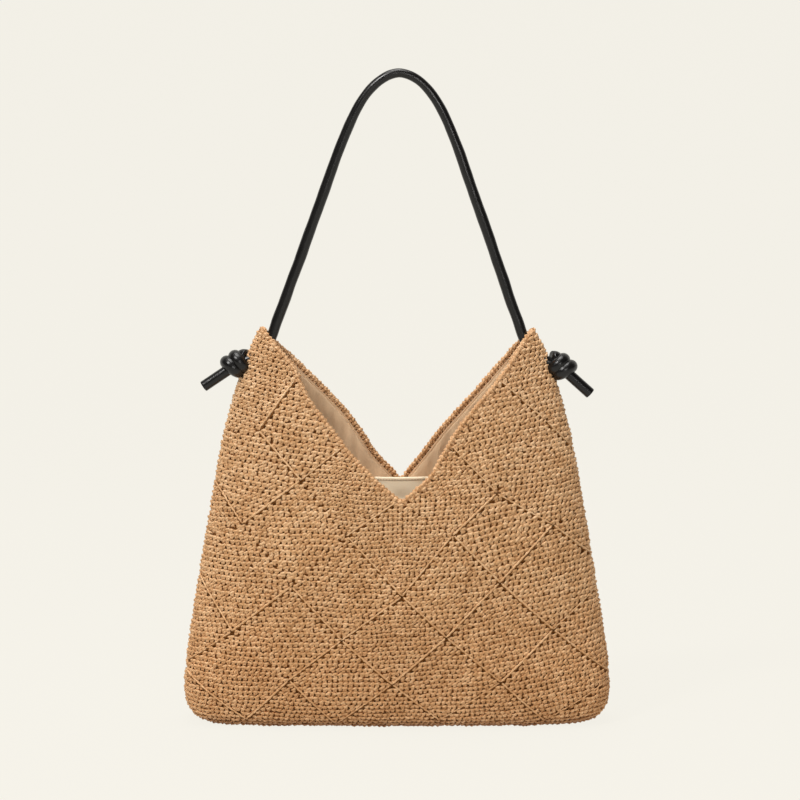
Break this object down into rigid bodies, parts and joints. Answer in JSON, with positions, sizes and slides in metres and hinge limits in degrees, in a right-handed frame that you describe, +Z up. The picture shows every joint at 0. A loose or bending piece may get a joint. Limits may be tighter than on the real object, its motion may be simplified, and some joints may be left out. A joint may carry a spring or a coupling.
{
  "type": "crocheted hobo bag",
  "caption": "Slouchy crocheted raffia hobo bag with a V-shaped mouth, canvas lining, slip pocket and a tubular leather shoulder strap knotted outside both tips.",
  "frame": {"origin": "middle of the flat sole that the bag stands on", "axes": "+Z up, +X to the right seen from the front, the front panel towards -Y"},
  "size_m": [0.383, 0.103, 0.592],
  "materials": {
    "raffia": "crocheted raffia, satin",
    "raffia_edging": "crocheted raffia, satin",
    "piping": "woven, matte",
    "canvas": "plain weave, matte",
    "magnet": "brushed, covered by the lining",
    "leather": "smooth, satin",
    "strap_core": "matte"
  },
  "bodies": {
    "bag": {"back_lining": "canvas", "back_mouth_edging": "raffia_edging", "back_piping": "piping", "back_squares_row1_inner": "raffia", "back_squares_row1_middle": "raffia", "back_squares_row1_outer": "raffia", "back_squares_row2_inner": "raffia", "back_squares_row2_outer": "raffia", "back_squares_row3_inner": "raffia", "back_squares_row3_middle": "raffia", "back_squares_row3_outer": "raffia", "back_squares_row4_inner": "raffia", "back_squares_row4_outer": "raffia", "back_squares_row5_inner": "raffia", "back_squares_row5_middle": "raffia", "back_squares_row5_outer": "raffia", "back_squares_row6_inner": "raffia", "back_squares_row6_outer": "raffia", "back_squares_row7": "raffia", "back_tips": "raffia", "front_lining": "canvas", "front_mouth_edging": "raffia_edging", "front_piping": "piping", "front_snap_disc": "magnet", "front_squares_row1_inner": "raffia", "front_squares_row1_middle": "raffia", "front_squares_row1_outer": "raffia", "front_squares_row2_inner": "raffia", "front_squares_row2_outer": "raffia", "front_squares_row3_inner": "raffia", "front_squares_row3_middle": "raffia", "front_squares_row3_outer": "raffia", "front_squares_row4_inner": "raffia", "front_squares_row4_outer": "raffia", "front_squares_row5_inner": "raffia", "front_squares_row5_middle": "raffia", "front_squares_row5_outer": "raffia", "front_squares_row6_inner": "raffia", "front_squares_row6_outer": "raffia", "front_squares_row7": "raffia", "front_tips": "raffia", "left_knot": "leather", "left_strap_tail": "leather", "pocket_fold": "canvas", "pocket_hem": "canvas", "pocket_panel": "canvas", "pocket_snap_disc": "magnet", "right_knot": "leather", "right_strap_tail": "leather", "sole_lining": "canvas", "sole_panel": "raffia", "strap_end_core": "strap_core", "strap_end_leather": "leather"},
    "strap": {"strap_leather": "leather", "strap_core": "strap_core"}
  },
  "joints": [
    {"name": "strap_swing", "type": "hinge", "parent": "bag", "child": "strap", "pos_m": [0, 0, 0.369], "axis": [1, 0, 0], "range_deg": [-100, 100]}
  ]
}
